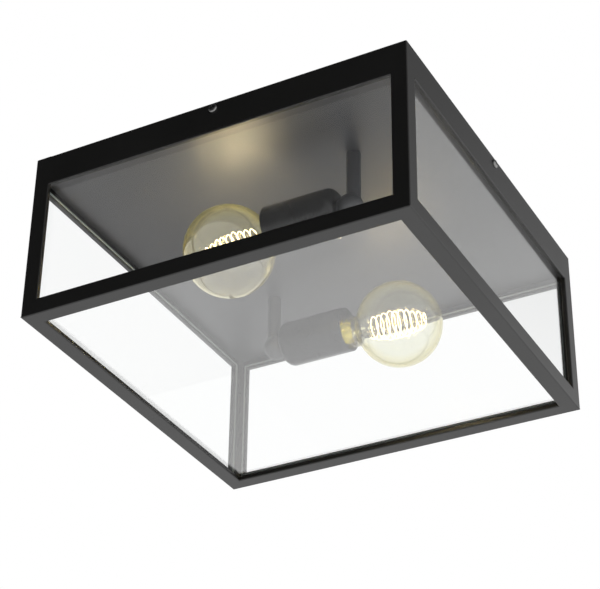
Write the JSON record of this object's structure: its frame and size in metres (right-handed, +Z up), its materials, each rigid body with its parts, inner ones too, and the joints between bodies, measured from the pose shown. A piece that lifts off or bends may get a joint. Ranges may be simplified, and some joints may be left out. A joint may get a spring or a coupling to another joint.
{
  "type": "porch ceiling lantern",
  "caption": "Square flush ceiling lantern of folded black sheet metal, glazed on its sides and underneath, with opposed horizontal lampholders and clear spiral filament globe lamps.",
  "frame": {"origin": "middle of the ceiling plane, which is the upper face of the mounting strap and the tray's rim", "axes": "+Z up into the ceiling, the lantern hangs towards -Z, front face towards -Y, right face towards +X"},
  "size_m": [0.3644, 0.3644, 0.163],
  "materials": {
    "frame_black": "satin black powder coat",
    "fitting_black": "satin black powder coat",
    "zinc_steel": "bright zinc plate",
    "contact_brass": "rolled brass",
    "white_ceramic": "glazed",
    "terminal_plastic": "moulded nylon",
    "lead_insulation": "brown live and blue neutral insulation",
    "pane_glass": "clear float glass",
    "black_silicone": "cured sealant",
    "lamp_cap_brass": "rolled thin sheet",
    "cap_insulator": "opaque black glass",
    "tip_solder": "soft solder",
    "lamp_glass": "clear with a faint warm tint",
    "support_wire": "drawn wire",
    "filament_glow": "lit, warm white"
  },
  "bodies": {
    "ceiling_fitting": {"mounting_strap": "zinc_steel", "strap_screws": "zinc_steel", "ceiling_tray": "fitting_black", "terminal_block": "terminal_plastic", "terminal_brass": "contact_brass", "tray_screws": "zinc_steel", "front_lamp_leads": "lead_insulation", "rear_lamp_leads": "lead_insulation", "front_stem": "fitting_black", "rear_stem": "fitting_black", "arm_locknuts": "zinc_steel", "stem_washers": "zinc_steel", "front_elbow": "fitting_black", "rear_elbow": "fitting_black", "front_holder_shell": "fitting_black", "rear_holder_shell": "fitting_black", "front_holder_insert": "white_ceramic", "rear_holder_insert": "white_ceramic", "front_thread_shell": "contact_brass", "rear_thread_shell": "contact_brass", "front_centre_contact": "contact_brass", "rear_centre_contact": "contact_brass", "insert_fixings": "zinc_steel"},
    "glazed_frame": {"front_band": "frame_black", "right_band": "frame_black", "rear_band": "frame_black", "left_band": "frame_black", "front_rail": "frame_black", "right_rail": "frame_black", "rear_rail": "frame_black", "left_rail": "frame_black", "front_right_post": "frame_black", "rear_right_post": "frame_black", "rear_left_post": "frame_black", "front_left_post": "frame_black", "front_pane": "pane_glass", "right_pane": "pane_glass", "rear_pane": "pane_glass", "left_pane": "pane_glass", "floor_pane": "pane_glass", "glazing_beads": "black_silicone", "weld_nuts": "zinc_steel"},
    "front_clamp_screw": {"front_clamp_screw": "zinc_steel"},
    "right_clamp_screw": {"right_clamp_screw": "zinc_steel"},
    "rear_clamp_screw": {"rear_clamp_screw": "zinc_steel"},
    "left_clamp_screw": {"left_clamp_screw": "zinc_steel"},
    "front_lamp": {"front_lamp_cap": "lamp_cap_brass", "front_lamp_insulator": "cap_insulator", "front_lamp_tip": "tip_solder", "front_lamp_globe": "lamp_glass", "front_lamp_mount": "lamp_glass", "front_lamp_supports": "support_wire", "front_lamp_filament": "filament_glow"},
    "rear_lamp": {"rear_lamp_cap": "lamp_cap_brass", "rear_lamp_insulator": "cap_insulator", "rear_lamp_tip": "tip_solder", "rear_lamp_globe": "lamp_glass", "rear_lamp_mount": "lamp_glass", "rear_lamp_supports": "support_wire", "rear_lamp_filament": "filament_glow"}
  },
  "joints": [
    {"name": "frame_drop", "type": "slide", "parent": "ceiling_fitting", "child": "glazed_frame", "axis": [0, 0, -1], "range_m": [0, 0.17]},
    {"name": "front_clamp_out", "type": "slide", "parent": "glazed_frame", "child": "front_clamp_screw", "axis": [0, -1, 0], "range_m": [0, 0.006]},
    {"name": "right_clamp_out", "type": "slide", "parent": "glazed_frame", "child": "right_clamp_screw", "axis": [1, 0, 0], "range_m": [0, 0.006]},
    {"name": "rear_clamp_out", "type": "slide", "parent": "glazed_frame", "child": "rear_clamp_screw", "axis": [0, 1, 0], "range_m": [0, 0.006]},
    {"name": "left_clamp_out", "type": "slide", "parent": "glazed_frame", "child": "left_clamp_screw", "axis": [-1, 0, 0], "range_m": [0, 0.006]},
    {"name": "front_lamp_out", "type": "slide", "parent": "ceiling_fitting", "child": "front_lamp", "axis": [-0.9962, 0, -0.0872], "range_m": [0, 0.04]},
    {"name": "rear_lamp_out", "type": "slide", "parent": "ceiling_fitting", "child": "rear_lamp", "axis": [0.9962, 0, -0.0872], "range_m": [0, 0.04]}
  ]
}
